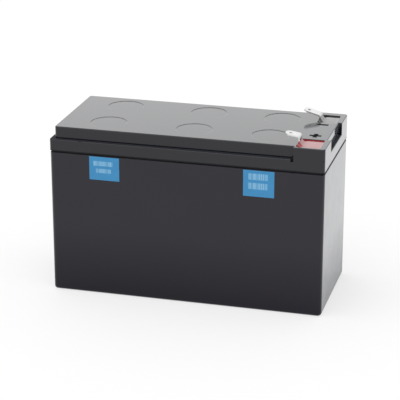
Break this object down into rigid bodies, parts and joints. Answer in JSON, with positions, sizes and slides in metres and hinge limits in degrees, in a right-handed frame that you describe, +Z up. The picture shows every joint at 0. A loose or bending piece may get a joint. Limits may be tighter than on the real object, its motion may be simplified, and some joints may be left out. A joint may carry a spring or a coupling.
{
  "type": "sealed lead-acid battery block",
  "caption": "Sealed lead-acid battery block for a UPS battery cartridge, with a stepped lid, vent discs and two bent push-on tabs.",
  "frame": {"origin": "middle of the underside, on the surface that the block stands on", "axes": "+Z up, +X towards the end with the two tabs, -Y the front with the stickers"},
  "size_m": [0.151, 0.0651, 0.0995],
  "materials": {
    "case_plastic": "moulded black plastic, satin gloss",
    "lid_plastic": "moulded black plastic, satin gloss",
    "disc_plastic": "moulded black plastic, satin gloss",
    "cap_rubber": "soft black rubber",
    "positive_paste": "dull dark brown lead dioxide on a lead grid",
    "negative_paste": "dull grey sponge lead on a lead grid",
    "glass_mat": "white felted glass fibre",
    "lead": "cast lead, dull",
    "tinned_brass": "tin-plated brass strip, bright satin",
    "red_resin": "cast red resin, glossy",
    "grey_resin": "cast black resin, glossy",
    "blue_film": "printed blue sticker film"
  },
  "bodies": {
    "root": {"case": "case_plastic", "cell_weld_1": "lead", "cell_weld_2": "lead", "cell_weld_3": "lead", "cell_weld_4": "lead", "cell_weld_5": "lead", "left_sticker": "blue_film", "lid": "lid_plastic", "negative_plates_1": "negative_paste", "negative_plates_2": "negative_paste", "negative_plates_3": "negative_paste", "negative_plates_4": "negative_paste", "negative_plates_5": "negative_paste", "negative_plates_6": "negative_paste", "negative_post": "lead", "negative_seal": "grey_resin", "negative_tab": "tinned_brass", "positive_plates_1": "positive_paste", "positive_plates_2": "positive_paste", "positive_plates_3": "positive_paste", "positive_plates_4": "positive_paste", "positive_plates_5": "positive_paste", "positive_plates_6": "positive_paste", "positive_post": "lead", "positive_seal": "red_resin", "positive_tab": "tinned_brass", "right_sticker": "blue_film", "separators_1": "glass_mat", "separators_2": "glass_mat", "separators_3": "glass_mat", "separators_4": "glass_mat", "separators_5": "glass_mat", "separators_6": "glass_mat", "vent_cap_1": "cap_rubber", "vent_cap_2": "cap_rubber", "vent_cap_3": "cap_rubber", "vent_cap_4": "cap_rubber", "vent_cap_5": "cap_rubber", "vent_cap_6": "cap_rubber", "vent_disc_1": "disc_plastic", "vent_disc_2": "disc_plastic", "vent_disc_3": "disc_plastic", "vent_disc_4": "disc_plastic", "vent_disc_5": "disc_plastic", "vent_disc_6": "disc_plastic"}
  },
  "joints": []
}
